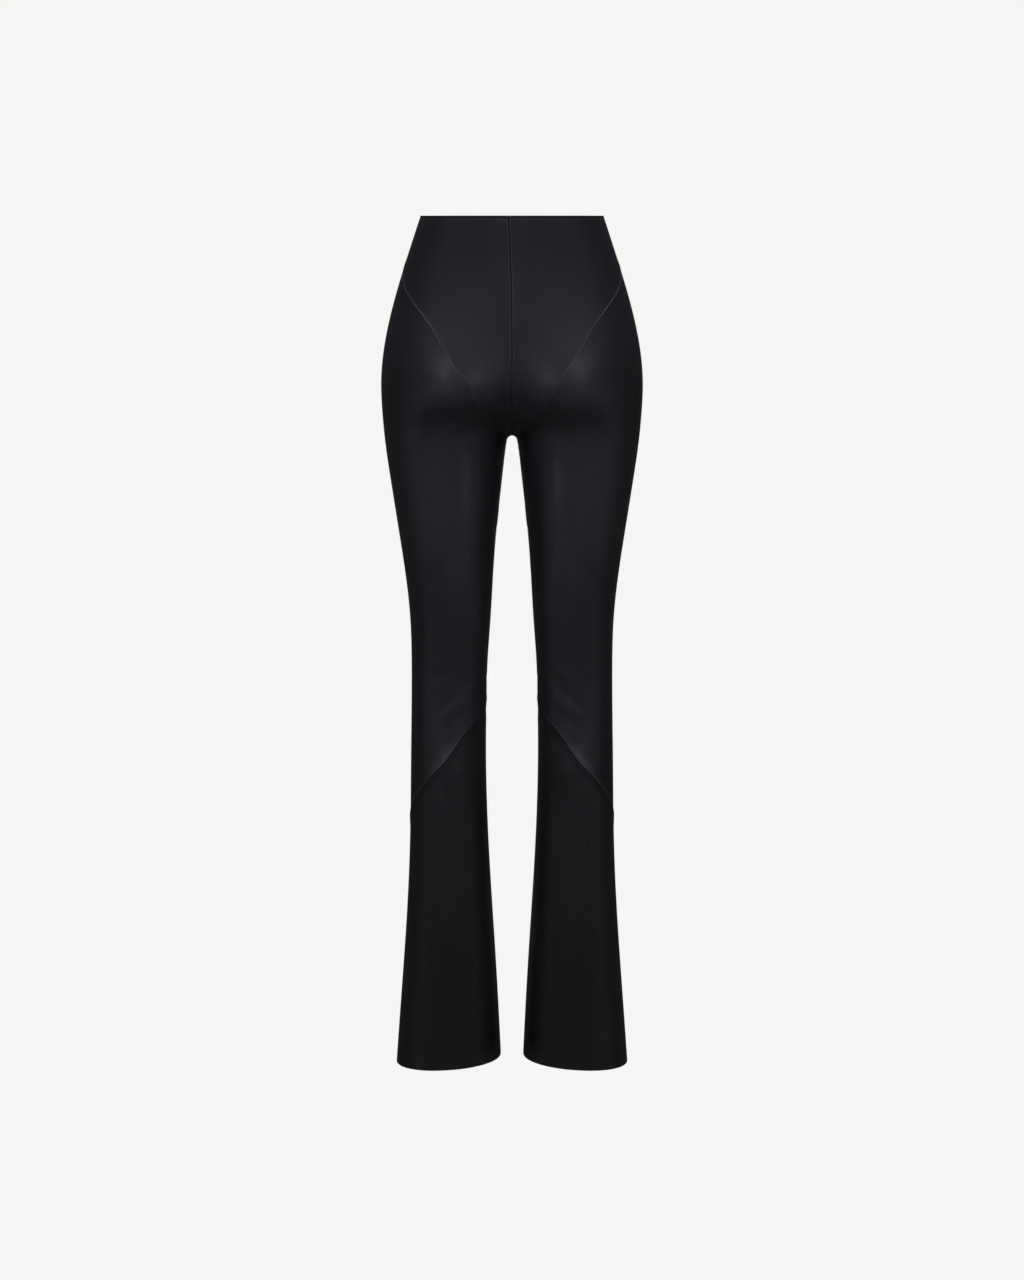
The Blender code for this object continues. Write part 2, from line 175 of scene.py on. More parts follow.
# The cloth beside each kind of edge, from the edge inwards. across: how far from the edge. lift: how far the
# outer face stands off the plain form. The third column: how rubbed the coating is, its lips also painted
# lighter as a painted glint, or below 0 a painted shade that darkens and dulls the groove.
EDGE_ROLL = 0.4
BESIDE_SEAM = ((3.4, 0.09, 0), (8.8, 0.06, 0), (9.5, 0.04, 0), (12.5, 0, 0))
PROFILES = {
    "plain": (
        (0, -EDGE_ROLL, -0.9), (0.12, -0.2, -0.6), (0.35, 0.08, 0.3), (0.75, 0.25, 1), (1.25, 0.27, 0.7),
        (2, 0.18, 0), *BESIDE_SEAM,
    ),
    "slit": (
        (0, -EDGE_ROLL, -1), (0.25, -0.35, -1), (0.65, -0.05, -0.5), (1.1, 0.3, 0.9), (1.7, 0.36, 1),
        (2.4, 0.2, 0.1), *BESIDE_SEAM,
    ),
    "lipped": (
        (0, -EDGE_ROLL, -0.8), (0.1, 0.02, 0), (0.3, 0.34, 0.9), (0.7, 0.5, 1), (1.2, 0.44, 0.8),
        (2, 0.2, 0), *BESIDE_SEAM,
    ),
    "puffed": (
        (0, -EDGE_ROLL, -1), (0.3, -0.1, -0.8), (0.8, 0.45, 0.5), (1.5, 0.9, 0.9), (2.4, 1.1, 0.7),
        (4, 0.95, 0.2), (6, 0.5, 0), (8.8, 0.2, 0), (9.5, 0.15, 0), (12.5, 0, 0),
    ),
    "welt": (
        (0, -EDGE_ROLL, -1), (0.3, -0.15, -1), (0.8, 0.35, 0.3), (1.4, 0.62, 1), (2.2, 0.5, 0.6),
        (2.8, -0.1, -0.3), (3.4, -0.35, -0.7), (4, -0.1, -0.4), (5, 0.08, 0), (8.8, 0.08, 0),
        (9.5, 0.05, 0), (12.5, 0, 0),
    ),
    "waist": (
        (0, -EDGE_ROLL, -0.9), (0.12, -0.28, -0.9), (0.35, -0.08, -0.8), (0.8, 0, -0.5), (3.2, 0.05, 0.1),
        (4, -0.3, 0.2), (4.8, 0, 0.4), (6, 0, 0), (25, 0, 0), (25.8, 0, 0),
    ),
    "hem": (
        (0, -EDGE_ROLL, -0.7), (0.12, -0.28, -0.5), (0.35, -0.08, 0), (0.8, 0, 0.3), (1.6, 0, 0),
        (28.8, 0, 0), (30, -0.14, -0.06), (31.2, 0, 0),
    ),
}
PROFILES = {kind: table("across lift wear", *rows) for kind, rows in PROFILES.items()}

# Lines of an outline whose cloth isn't plain beside them. The knee seam's lips fade where it meets others.
KINDS = {"centre_back": "slit", "v_seam": "lipped", "knee_seam": "puffed", "-knee_seam": "welt"}
CROSSING = ("puffed", "welt")
LIP_FADE = 16
LIP_LEAST = 0.1

# The cloth's thickness, and how much of it is turned in behind the waist, the hem and each seam.
CLOTH = 1
FOLDED_CLOTH = 2
TURNED_IN = {"waist": 25.4, "hem": 30.4}
ALLOWANCE = 9.2
ROLLED_IN = 1.4

# How strongly the rubbed lips of the seams show with their painted glint, and for the zip's slit also how
# much of the painted shade in its groove is kept, never less than the least share.
LIP_RUB_AND_GLINT = table(
    "drop share",
    *((0, 0.7), (180, 0.7), (200, 1), (226, 1), (244, 0.1), (590, 0.1), (625, 0.6), (1100, 0.6)),
)
SLIT_GLINT_AND_SHADE = table("drop share", (0, 0.9), (186, 0.8), (197, 0.1), (1100, 0.1))
SLIT_SHADE_LEAST = 0.35

# Soft creases pressed into the cloth. leg: 1 right, -1 left, 0 both. turn and drop: its middle. tilt:
# from upright, towards the outside at the bottom. A negative depth is a ridge.
CREASES = table(
    "leg turn drop tilt length width depth",
    (0, -10, 213, -35, 10, 3.4, 0.14),
    (0, -14, 220, -35, 9, 3, 0.12),
    (0, -2, 204, -30, 9, 3, 0.1),
    (0, -24, 240, 68, 34, 7, 0.35),
    (0, -19, 335, 3, 34, 3.4, -0.5),
    (0, -20, 400, -2, 40, 4.5, -0.35),
    (0, 4, 474, 60, 40, 13, -0.6),
    (1, -2, 620, 42, 12, 3.4, 0.3),
    (-1, -4, 623, 46, 13, 3.6, 0.3),
    (1, 10, 590, 58, 26, 7, 0.95),
    (-1, 8, 586, 62, 28, 7, 0.9),
    (0, -14, 612, 54, 24, 6.5, 1),
    (0, -26, 592, 60, 26, 7, 0.85),
    (0, 6, 640, 58, 30, 8, -1.1),
    (0, -3, 684, -38, 22, 4.2, -0.3),
    (0, 26, 716, -34, 26, 5, -0.5),
    (0, 10, 716, -40, 18, 6, -0.4),
    (0, 176, 224, 66, 26, 6, 0.5),
    (0, 168, 252, 58, 22, 6, 0.45),
    (0, 196, 270, 55, 20, 5, 0.5),
    (0, 172, 606, 80, 24, 7, 0.5),
    (0, 192, 628, 100, 22, 7, 0.45),
    (0, 178, 655, 86, 20, 8, 0.4),
    (0, 112, 600, 70, 18, 6, 0.35),
    (0, -100, 600, -70, 18, 6, 0.4),
    (0, -96, 640, -75, 16, 6, 0.35),
    (1, 150, 800, 10, 60, 12, 0.4),
    (-1, 156, 820, 8, 60, 12, 0.4),
)
CREASE_RADIUS = 60

# Where the coating is finely crinkled.
CRINKLES = table(
    "turn drop wide long strength",
    (12, 199, 16, 13, 1),
    (-9, 213, 12, 14, 0.9),
    (-18, 335, 9, 42, 0.7),
    (24, 300, 12, 26, 0.4),
    (-18, 470, 8, 60, 0.4),
    (-6, 622, 22, 14, 0.35),
    (-8, 683, 22, 16, 0.5),
    (20, 712, 16, 16, 0.5),
    (-30, 660, 14, 20, 0.5),
    (205, 262, 16, 18, 0.6),
    (235, 245, 20, 16, 0.7),
    (180, 600, 34, 22, 0.6),
    (196, 668, 26, 16, 0.5),
)

# Where the coating is shinier, or below 0 duller. side: from the middle of the body.
SHINE = table(
    "panel side drop wide long amount",
    ("back_yoke", 45, 35, 42, 45, -0.2),
    ("back_yoke", 45, 205, 14, 14, 0.55),
    ("back_yoke", 8, 222, 14, 16, -0.3),
    ("back_thigh", 87, 189, 18, 19, 0.7),
    ("back_thigh", 88, 196, 8, 8, 0.35),
    ("back_thigh", 77, 184, 6, 9, 0.35),
    ("back_thigh", 58, 340, 6, 45, 0.45),
    ("back_thigh", 44, 297, 9, 22, -0.35),
    ("back_thigh", 107, 450, 18, 30, -0.25),
    ("back_thigh", 88, 515, 34, 60, -0.22),
    ("back_thigh", 84, 690, 12, 18, 0.55),
    ("back_thigh", 95, 704, 12, 12, 0.45),
    ("back_thigh", 98, 670, 12, 34, 0.25),
    ("back_thigh", 40, 560, 9, 110, 0.65),
    ("back_lower", 62, 715, 32, 50, -0.3),
    ("back_lower", 56, 655, 12, 16, -0.35),
    ("back_lower", 72, 700, 10, 10, 0.25),
    ("back_lower", 42, 690, 9, 70, 0.6),
    ("back_lower", 27, 965, 9, 125, 2),
    ("back_lower", 82, 875, 24, 80, 0.2),
    ("front", 87, 120, 20, 24, 0.3),
    ("front", 84, 330, 18, 60, 0.2),
    ("front", 82, 590, 16, 34, 0.4),
    ("front", 78, 860, 30, 60, -0.15),
)

# The bright strip beside the knee seam, where the thigh's cloth is puffed up.
(STRIP,) = table("across drop wide long amount", (5.2, 695, 4.4, 21, 1.2))

# Stitches: round the waist's edge, along the knee seam's welt and across the zip's end.
STITCH_PITCH = 3
STITCH_LENGTH = 2.4
STITCH_START = 0.1
STITCH_SAMPLE = 0.5
STITCH_RINGS = 5
STITCH_RISE = 0.22
STITCH_LIFT = -0.25
THREAD = 0.22
THREAD_TIP = 0.3
TUBE_SIDES = 6
WAIST_STITCH = 4
KNEE_STITCH = 3.4
ZIP_END = 193
BAR_REACH = 1.55
BAR_POINTS = 9
BAR_LIFT = 0.2

# The concealed zip, closed, behind the centre-back seam. reach: to the side of the seam. depth: inside the
# cloth's face. half: half the slider's thickness.
ZIP_BESIDE = 22
ZIP_SAMPLE = 2
TAPE_DROPS = (3, 215)
TAPE_ROWS = 90
TAPE_SECTION = table(
    "reach depth",
    *((1.9, 2.6), (2.1, 2.25), (2.6, 2.15), (3.2, 2.3), (3.8, 2.4), (8, 2.4), (13.6, 2.4)),
    *((14, 2.6), (13.6, 2.8), (8, 2.8), (3.8, 2.8), (3.2, 2.9), (2.6, 3.05), (2.1, 2.95)),
)
COIL_DROPS = (14, 200)
COIL_PITCH = 1.5
COIL_STEPS = 12
COIL_MIDDLE = 0.75
COIL_RADIUS = 0.75
COIL_WIRE = 0.26
COIL_DEPTH = 2.85
SLIDER = table(
    "drop reach half",
    (4, 1.2, 0.3),
    (4.3, 2.1, 0.8),
    (5, 2.8, 1.2),
    (6.5, 3.35, 1.45),
    (9, 3.4, 1.5),
    (11, 3.3, 1.45),
    (12.5, 2.7, 1.2),
    (13.3, 2, 0.8),
    (13.5, 1.2, 0.3),
)
SLIDER_CORNERS = 28
SLIDER_POWER = 0.45
SLIDER_DEPTH = 5.1

# The faux leather's colours and gloss, which go by how shiny, rubbed or sunken the coating is. Rubbed lips
# get a painted glint of lighter grey, and sunken grooves a painted shade of near-black.
BLACK = (0.0120, 0.0128, 0.0152)
BLUE_BLACK = (0.0150, 0.0160, 0.0190)
GLOSS_TINT = (0.96, 0.965, 1)
# Painted shade: the near-black put into the seam grooves and stitch lines.
PAINTED_SEAM_SHADE = (0.003, 0.003, 0.0035)
# Painted glint: the lighter grey put on the rubbed lips of the seams.
PAINTED_GLINT_GREY = (0.075, 0.077, 0.082)
NOISE_RANGE = (0.3, 0.7)
GLINT_RANGE = (0.5, 1)
ROUGH_RANGE = (0.47, 0.53)
SUNKEN_ROUGHER = 0.2
WORN_SMOOTHER = 0.12
SHINE_SMOOTHER = 0.03
SHINE_RANGE = (-1, 2)
LEVEL_RANGE = (0, 1.5)
SUNKEN_DULLER = 0.85
PORE_SHARE = 0.4
PUCKER_REACH = 7
PUCKER_RATE = 1.5
PUCKER_WANDER = 9
CRINKLE_TURN = (0, 0.6, 0)
CRINKLE_SCALE = (330, 200, 110)

# Colours of the other materials, dark and light.
KNIT = ((0.026, 0.026, 0.028), (0.080, 0.080, 0.084))
KNIT_SHEEN = 0.15
THREAD_BLACK = ((0.014, 0.015, 0.017), (0.040, 0.042, 0.046))
TAPE_BLACK = ((0.006, 0.006, 0.007), (0.016, 0.016, 0.018))
HARD_BLACK = ((0.012, 0.012, 0.013), (0.024, 0.024, 0.026))

# Lights in pairs, mirrored about the middle: degrees round from behind the back and up, how far away, their
# size, their power in watts, how far down they aim and how wide they spread.
LIGHTS = table(
    "name azimuth elevation distance size power aim spread",
    ("seat", 22, 10, 2.4, (0.5, 0.5), 0.11, -0.38, 20),
    ("legs", 40, -12, 2.4, (0.9, 0.9), 0.88, -0.75, 180),
    ("high", 56, 38, 2.4, (0.9, 0.9), 2.9, -0.1, 180),
    ("low", 12, -28, 2.4, (0.9, 0.9), 1.15, -0.75, 180),
    ("side", 75, -12, 2.4, (0.9, 0.9), 1.3, -0.75, 180),
    ("thighs", 62, 0, 2.4, (0.5, 0.5), 0.042, -0.38, 20),
    ("top", 12, 38, 2.4, (0.9, 0.9), 1.25, -0.1, 180),
    ("above", 90, 84, 2.4, (0.4, 0.4), 0.5, 0, 24),
    ("front", 178, 6, 2.6, (0.3, 1.4), 10, -0.4, 180),
    ("front_top", 172, 46, 2.6, (0.6, 0.6), 6, -0.2, 180),
)
LIGHT_TINT = (0.945, 0.965, 1.035)
AMBIENT = 0.054
BACKDROP = (0.923, 0.915, 0.9)

# The camera is level with the waist and looks down a little.
CAMERA_DISTANCE = 5.04
CAMERA_PITCH = 6.194
CAMERA_LENS = 110
CAMERA_SENSOR = 36
CAMERA_SIGHT = 100

FLOOR_DROP = 1.45
FLOOR_SIZE = 40


# ---- the form


class Curve:
    """A smooth line through a table's rows: a natural cubic spline."""

    def __init__(self, knots, values):
        self.knots = np.array(knots, float)
        self.values = np.array(values, float)
        gaps = np.diff(self.knots)
        slopes = np.diff(self.values) / gaps
        system = np.eye(len(knots))
        known = np.zeros(len(knots))
        for row in range(1, len(knots) - 1):
            system[row, row - 1 : row + 2] = gaps[row - 1], 2 * (gaps[row - 1] + gaps[row]), gaps[row]
            known[row] = 6 * (slopes[row] - slopes[row - 1])
        self.bends = np.linalg.solve(system, known)

    def __call__(self, spot):
        row = np.clip(np.searchsorted(self.knots, spot) - 1, 0, len(self.knots) - 2)
        gap = self.knots[row + 1] - self.knots[row]
        high = (spot - self.knots[row]) / gap
        low = 1 - high
        bend = (low**3 - low) * self.bends[row] + (high**3 - high) * self.bends[row + 1]
        return low * self.values[row] + high * self.values[row + 1] + bend * gap**2 / 6


def curves(rows):
    """A Curve for each column after the first, against the first."""
    knots, *values = zip(*rows)
    return [Curve(knots, column) for column in values]


side_at, axis_at, back_at, front_at = curves(FORM)
(web_at,) = curves(WEB)


def centre_at(drop):
    return (back_at(drop) + front_at(drop)) / 2


def drop_of(points):
    return -points[:, 2]


def height(points):
    """How far points stand outside the garment's plain form. It is negative inside."""
    drop = drop_of(points)
    axis = axis_at(drop)
    half_width = side_at(drop) - axis
    half_depth = (front_at(drop) - back_at(drop)) / 2
    along = np.abs(points[:, 1] - centre_at(drop)) / half_depth
    lobes = []
    for leg in (1, -1):
        across = np.abs(leg * points[:, 0] - axis) / half_width
        ratio = (across**SECTION_POWER + along**SECTION_POWER) ** (1 / SECTION_POWER)
        lobes.append((ratio - 1) * half_width)
    web = web_at(drop)
    shared = np.maximum(web - np.abs(lobes[0] - lobes[1]), 0)
    spread = (np.abs(points[:, 0]) - SEAT_SIDE) ** 2 + (drop - SEAT_DROP) ** 2
    behind = np.clip((centre_at(drop) - points[:, 1]) / SEAT_FADE, 0, 1)
    swell = SEAT_SWELL * np.exp(-spread / (2 * SEAT_RADIUS**2)) * behind
    return np.minimum(*lobes) - shared**2 / (4 * web) - swell


def slopes_at(points):
    """How fast the height grows along each axis."""
    shifts = np.eye(3) * SLOPE_STEP
    rises = [height(points + shift) - height(points - shift) for shift in shifts]
    return np.stack(rises, axis=1) / (2 * SLOPE_STEP)


def unit(vectors):
    return vectors / np.linalg.norm(vectors, axis=-1, keepdims=True)


def normals(points):
    return unit(slopes_at(points))


def settled(points):
    """Points beside the form's face moved onto it."""
    for _ in range(ROUNDS):
        slopes = slopes_at(points)
        share = height(points) / np.sum(slopes**2, axis=1)
        points = points - slopes * share[:, None]
    return points


def columns(*numbers):
    """Points or directions from their columns, of which any may be one number."""
    return np.stack(np.broadcast_arrays(*numbers), axis=1)


def cast(starts, directions, reach=RAY_REACH):
    """Where rays that start inside the garment come out of its face."""
    directions = np.array(directions)
    near = np.zeros(len(starts))
    far = near + reach
    for _ in range(RAY_HALVINGS):
        middle = (near + far) / 2
        inside = height(starts + directions * middle[:, None]) < 0
        near = np.where(inside, middle, near)
        far = np.where(inside, far, middle)
    return starts + directions * near[:, None]


def at_turn(drop, turn):
    """Points of the right leg, at degrees round its axis."""
    axis = axis_at(drop)
    angle = np.radians(turn)
    starts = columns(axis, centre_at(drop), -drop)
    directions = columns(np.sin(angle), -np.cos(angle), 0)
    to_middle = axis / np.maximum(-directions[:, 0], NEARLY_NONE)
    return cast(starts, directions, np.minimum(RAY_REACH, to_middle))


def turn_of(points, middle):
    """Degrees round the right leg's axis, within half a turn of a middle."""
    drop = drop_of(points)
    turn = np.degrees(np.arctan2(points[:, 0] - axis_at(drop), centre_at(drop) - points[:, 1]))
    return middle + (turn - middle + 180) % 360 - 180


# ---- seams and edges


def lengths_of(line):
    return np.concatenate([[0], np.cumsum(np.linalg.norm(np.diff(line, axis=0), axis=1))])


def along_line(spots, lengths, values):
    """Points or directions of a line at other lengths along it."""
    return np.stack([np.interp(spots, lengths, column) for column in values.T], axis=1)


def spaced(line, step):
    """The same line with its points evenly spaced, about a step apart."""
    lengths = lengths_of(line)
    count = max(1, round(lengths[-1] / step))
    return along_line(np.linspace(0, lengths[-1], count + 1), lengths, line)


def ended(line, first, last):
    """The line with its ends moved to two given points."""
    line[0] = first
    line[-1] = last
    return line


def evenly(first, last):
    return np.linspace(first, last, FINE)


def crotch_point():
    """Where the two inseams meet the centre seams: straight below the middle of the body."""
    start = np.array([[0, centre_at(CROTCH_LEVEL), -CROTCH_LEVEL / 2]])
    return cast(start, [0, 0, -1])[0]


def side_line(drop):
    """Points of the side seam."""
    return cast(columns(axis_at(drop), centre_at(drop) + SEAM_FORWARD, -drop), [1, 0, 0])


def inner_line(drop):
    """Points of the inseam, below the crotch."""
    fade = np.clip((drop - CROTCH_LEVEL) / FORWARD_FADE, 0, 1)
    axis = axis_at(drop)
    return cast(columns(axis, centre_at(drop) + SEAM_FORWARD * fade, -drop), [-1, 0, 0], axis)


def centre_line(facing, crotch):
    """The centre-back (facing -1) or centre-front (facing 1) seam, from the waist to the crotch."""
    waist = cast(np.array([[0, centre_at(0), 0]]), [0, facing, 0])[0]
    pivot = np.array([0, crotch[1], -CROTCH_LEVEL / 2])
    start = math.atan2(-pivot[2], facing * (waist[1] - pivot[1]))
    angles = evenly(start, -math.pi / 2)
    directions = columns(0, facing * np.cos(angles), np.sin(angles))
    return ended(cast(np.tile(pivot, (FINE, 1)), directions), waist, crotch)


def waist_line(centre, side):
    """The waist's edge from a centre seam to the side seam, round the back or the front."""
    middle = 0 if centre[1] < 0 else 180
    ends = turn_of(np.array([centre, side]), middle)
    return ended(at_turn(np.zeros(FINE), evenly(*ends)), centre, side)


def slanting_line(seam, first, last):
    """A seam that winds round the back of the leg between two points of its edge seams."""
    (turn_at,) = curves(seam)
    drop = evenly(seam[0].drop, seam[-1].drop)
    return ended(at_turn(drop, turn_at(drop)), first, last)


def hem_drop(points):
    """The hem's depth at points round the leg: it is a little lower on the outside."""
    return HEM_DROP + HEM_TILT * (points[:, 0] - axis_at(HEM_DROP))


def hem_end(edge_line):
    """The depth at which the side seam or the inseam reaches the hem."""
    drop = np.array([HEM_DROP])
    for _ in range(ROUNDS):
        drop = hem_drop(edge_line(drop))
    return drop[0]


def hem_line(inner, side, middle):
    """The hem's edge from the inseam to the side seam, round the back or the front."""
    turn = evenly(*turn_of(np.array([inner, side]), middle))
    drop = np.full(FINE, HEM_DROP)
    for _ in range(ROUNDS):
        drop = hem_drop(at_turn(drop, turn))
    return ended(at_turn(drop, turn), inner, side)


def seam_lines():
    """The right leg's seams and edges, each an evenly spaced line that the panels on both sides share."""
    crotch = crotch_point()
    v_side, v_inner = V_SEAM[0].drop, V_SEAM[-1].drop
    knee_inner, knee_side = KNEE_SEAM[0].drop, KNEE_SEAM[-1].drop
    below_crotch = -crotch[2] + (v_inner + crotch[2]) * evenly(0, 1) ** 3
    inner_upper = inner_line(below_crotch)
    inner_upper[0] = crotch
    lines = {
        "side_upper": side_line(evenly(0, v_side)),
        "side_middle": side_line(evenly(v_side, knee_side)),
        "side_lower": side_line(evenly(knee_side, hem_end(side_line))),
        "inner_upper": inner_upper,
        "inner_middle": inner_line(evenly(v_inner, knee_inner)),
        "inner_lower": inner_line(evenly(knee_inner, hem_end(inner_line))),
        "centre_back": centre_line(-1, crotch),
        "centre_front": centre_line(1, crotch),
    }
    inner_lower, side_lower = lines["inner_lower"], lines["side_lower"]
    waist_side = lines["side_upper"][0]
    lines["v_seam"] = slanting_line(V_SEAM, lines["side_middle"][0], lines["inner_middle"][0])
    lines["knee_seam"] = slanting_line(KNEE_SEAM, inner_lower[0], side_lower[0])
    lines["waist_back"] = waist_line(lines["centre_back"][0], waist_side)
    lines["waist_front"] = waist_line(lines["centre_front"][0], waist_side)
    lines["hem_back"] = hem_line(inner_lower[-1], side_lower[-1], 0)
    lines["hem_front"] = hem_line(inner_lower[-1], side_lower[-1], 180)
    return {name: spaced(line, SEAM_STEP) for name, line in lines.items()}


def kind_of(name):
    """Which profile the cloth has beside an outline's line."""
    edge = name.lstrip("-").split("_")[0]
    return edge if edge in TURNED_IN else KINDS.get(name, "plain")


def tree_of(points):
    """A tree that finds the nearest of some points."""
    tree = KDTree(len(points))
    for place, point in enumerate(points):
        tree.insert(point, place)
    tree.balance()
    return tree


class Edges:
    """Lines of one kind, for measuring how far points lie from them and how far along."""

    def __init__(self, lines):
        fine = [spaced(line, EDGE_SAMPLE) for line in lines]
        self.points = np.concatenate(fine)
        self.along = np.concatenate([lengths_of(line) for line in fine])
        self.ahead = np.concatenate([unit(np.gradient(line, axis=0)) for line in fine])
        self.starts = self.along == 0
        self.stops = np.roll(self.starts, -1)
        self.tree = tree_of(self.points)

    def measure(self, points):
        nearest = np.array([self.tree.find(point)[1] for point in points])
        offset = points - self.points[nearest]
        ahead = np.sum(offset * self.ahead[nearest], axis=1)
        beside = offset - self.ahead[nearest] * ahead[:, None]
        past = self.starts[nearest] & (ahead < 0) | self.stops[nearest] & (ahead > 0)
        across = np.linalg.norm(np.where(past[:, None], offset, beside), axis=1)
        return across, self.along[nearest] + ahead


# ---- panels


def drawn_in(points, insets):
    """A closed outline moved inwards, within the face, by the inset of each edge."""
    faces = normals(points)
    after = unit(np.cross(faces, np.roll(points, -1, axis=0) - points))
    before = unit(np.cross(faces, points - np.roll(points, 1, axis=0)))
    alike = np.clip(np.sum(before * after, axis=1), SHARPEST, 1)
    inset_before = np.roll(insets, 1)
    spare = np.maximum(1 - alike**2, 1e-9)
    share_before = (inset_before - alike * insets) / spare
    share_after = (insets - alike * inset_before) / spare
    straight = alike > STRAIGHT
    share_before[straight] = share_after[straight] = ((inset_before + insets) / 4)[straight]
    return settled(points + before * share_before[:, None] + after * share_after[:, None])


def chart(points, middle):
    """Places on the flat plane in which a panel is meshed: turn across it and drop down it."""
    drop = drop_of(points)
    return columns(turn_of(points, middle) * CHART_SCALE + drop * CHART_SHEAR, -drop)


def inside_of(outline, places):
    """Which places lie inside a flat outline."""
    within = np.zeros(len(places), bool)
    for start, end in zip(outline, np.roll(outline, -1, axis=0)):
        if start[1] == end[1]:
            continue
        crosses = (start[1] > places[:, 1]) != (end[1] > places[:, 1])
        share = (places[:, 1] - start[1]) / (end[1] - start[1])
        within ^= crosses & (places[:, 0] < start[0] + (end[0] - start[0]) * share)
    return within


def thinned(points, gap):
    """The points in order, without those that come nearer than a gap to one before."""
    tree = tree_of(points)
    kept = np.ones(len(points), bool)
    for place, point in enumerate(points):
        if kept[place]:
            for _, other, away in tree.find_range(point, gap):
                kept[other] &= other <= place or away >= gap
    return points[kept]


def crossed(turns, drops):
    """Points of the right leg at every turn of every drop."""
    turn, drop = [grid.ravel() for grid in np.meshgrid(turns, drops)]
    return at_turn(drop, turn)


def lattice(middle):
    """Rows and columns of points all over a panel's side of the leg, finer at the arch of the crotch."""
    turns = middle + np.arange(-WIDEST_TURN, WIDEST_TURN, STEP / TURN_LENGTH)
    points = crossed(turns, np.arange(STEP / 2, HEM_DROP + PAST_HEM, STEP))
    turns = middle + np.concatenate([np.arange(*span, ARCH_TURN_STEP) for span in ARCH_TURNS])
    arch = crossed(turns, np.arange(*ARCH_DROPS, ARCH_STEP))
    arch = arch[np.abs(arch[:, 0]) < ARCH_SIDE]
    drop = drop_of(points)
    away = (drop < ARCH_DROPS[0]) | (drop > ARCH_DROPS[1]) | (points[:, 0] >= ARCH_SIDE)
    return np.concatenate([points[away], thinned(arch, ARCH_GAP)])


def edge_rows(outline, kinds):
    """Rows of points beside a panel's edges, as far in as its profiles have their bends."""
    rows = []
    for row in range(1, max(len(profile) for profile in PROFILES.values())):
        insets = np.array([PROFILES[kind][min(row, len(PROFILES[kind]) - 1)].across for kind in kinds])
        real = np.array([row < len(PROFILES[kind]) for kind in kinds])
        real &= np.roll(real, 1)
        least = np.minimum(insets, np.roll(insets, 1))
        moved = drawn_in(outline, insets)
        rows.append((moved[real], least[real]))
    points, least = [np.concatenate(parts) for parts in zip(*rows)]
    clear, _ = Edges([np.concatenate([outline, outline[:1]])]).measure(points)
    return points[clear > least * CLEAR_SHARE]


def nearest_gap(points, others):
    tree = tree_of(others)
    return np.array([tree.find(point)[2] for point in points])


class Panel:
    """One cut panel of the right leg: points on the plain form, its triangles and its edge distances."""

    def __init__(self, lines, middle, names):
        outline, kinds, by_kind = [], [], {}
        for name in names:
            line = lines[name.lstrip("-")]
            by_kind.setdefault(kind_of(name), []).append(line)
            if name.startswith("-"):
                line = line[::-1]
            outline.extend(line[:-1])
            kinds.extend([kind_of(name)] * (len(line) - 1))
        outline, kinds = np.array(outline), np.array(kinds)
        flat = chart(outline, middle)
        ahead = np.roll(flat, -1, axis=0)
        if np.sum(flat[:, 0] * ahead[:, 1] - ahead[:, 0] * flat[:, 1]) < 0:
            outline = outline[::-1]
            kinds = np.roll(kinds[::-1], -1)
            flat = chart(outline, middle)
        self.count = len(outline)
        rows = edge_rows(outline, kinds)
        grid = lattice(middle)
        grid = grid[inside_of(flat, chart(grid, middle))]
        grid = grid[nearest_gap(grid, outline) > CLEAR_OF_EDGE]
        grid = grid[nearest_gap(grid, rows) > CLEAR_OF_ROW]
        rows = rows[inside_of(flat, chart(rows, middle))]
        self.points = np.concatenate([outline, rows, grid])
        places = [tuple(place) for place in chart(self.points, middle)]
        result = delaunay_2d_cdt(places, [], [list(range(self.count))], INSIDE_ONLY, MERGE_GAP)
        sources = np.array([origin[0] for origin in result[3]])
        self.triangles = sources[np.array(result[2])]
        self.across, self.along = {}, {}
        for kind, edges in by_kind.items():
            self.across[kind], self.along[kind] = Edges(edges).measure(self.points)


def creased(points, leg):
    """How far the creases move points outwards."""
    moved = np.zeros(len(points))
    for crease in CREASES:
        if crease.leg not in (0, leg):
            continue
        aside = np.radians(turn_of(points, crease.turn) - crease.turn) * CREASE_RADIUS
        down = drop_of(points) - crease.drop
        lean = math.radians(crease.tilt)
        along = (down * math.cos(lean) + aside * math.sin(lean)) / crease.length
        across = (aside * math.cos(lean) - down * math.sin(lean)) / crease.width
        moved -= crease.depth * np.exp(-(along**2)) * (1 - across**2) * np.exp(-(across**2) / 2)
    return moved


def spot(aside, down):
    """1 in the middle of a soft spot, and 0 well outside it."""
    return np.exp(-(aside**2) - down**2)


def crinkled(points):
    """How strongly the cloth is crinkled at points, from 0 to 1."""
    share = np.zeros(len(points))
    for row in CRINKLES:
        aside = np.radians(turn_of(points, row.turn) - row.turn) * CREASE_RADIUS / row.wide
        share = np.maximum(share, row.strength * spot(aside, (drop_of(points) - row.drop) / row.long))
    return share


def shine(name, panel):
    """How much more strongly than usual a panel's coating shines at its points."""
    side, drop = panel.points[:, 0], drop_of(panel.points)
    share = np.zeros(len(drop))
    for row in SHINE:
        if row.panel == name:
            share += row.amount * spot((side - row.side) / row.wide, (drop - row.drop) / row.long)
    if "puffed" in panel.across:
        across = (panel.across["puffed"] - STRIP.across) / STRIP.wide
        share += STRIP.amount * spot(across, (drop - STRIP.drop) / STRIP.long)
    return share


def leaned(points):
    """Points moved sideways by the lean of the centre back, which fades out down and round the body."""
    down = np.clip(1 + points[:, 2] / LEAN_DROP, 0, 1) ** 2
    round_body = np.cos(np.clip(np.abs(points[:, 0]) / LEAN_WIDTH, 0, 1) * math.pi / 2) ** 2
    behind = np.clip(-points[:, 1] / LEAN_DEPTH, 0, 1)
    return points - np.outer(LEAN * down * round_body * behind, [1, 0, 0])


